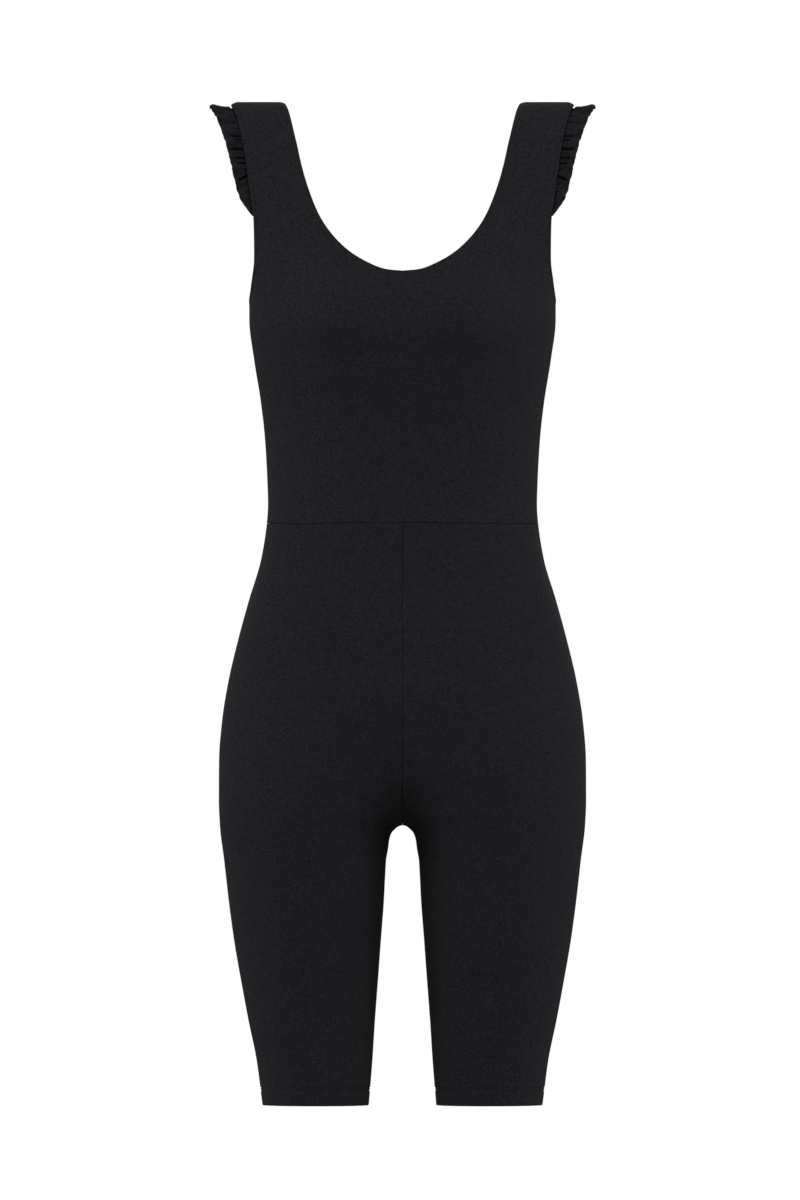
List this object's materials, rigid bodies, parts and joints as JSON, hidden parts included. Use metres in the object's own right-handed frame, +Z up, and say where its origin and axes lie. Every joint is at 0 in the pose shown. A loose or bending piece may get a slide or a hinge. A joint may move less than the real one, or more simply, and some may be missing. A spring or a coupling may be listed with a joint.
{
  "type": "jumpsuit",
  "caption": "Sleeveless cycling-short jumpsuit of fine black jersey with a round scoop neck, wide straps and a gathered ruffle in each armhole, in its worn hollow form.",
  "frame": {"origin": "midway between the shoulders, level with the tops of the straps, in the plane of the side seams", "axes": "+Z up from the hems to the straps, -Y the way the front faces, +X the wearer's left"},
  "size_m": [0.3488, 0.2363, 0.923],
  "materials": {
    "jersey": "matt black cotton and elastane jersey, fine knit"
  },
  "bodies": {
    "root": {"bodice_front": "jersey", "bodice_back": "jersey", "shorts_front_left": "jersey", "shorts_front_right": "jersey", "shorts_back_left": "jersey", "shorts_back_right": "jersey", "ruffle_left": "jersey", "ruffle_right": "jersey"}
  },
  "joints": []
}
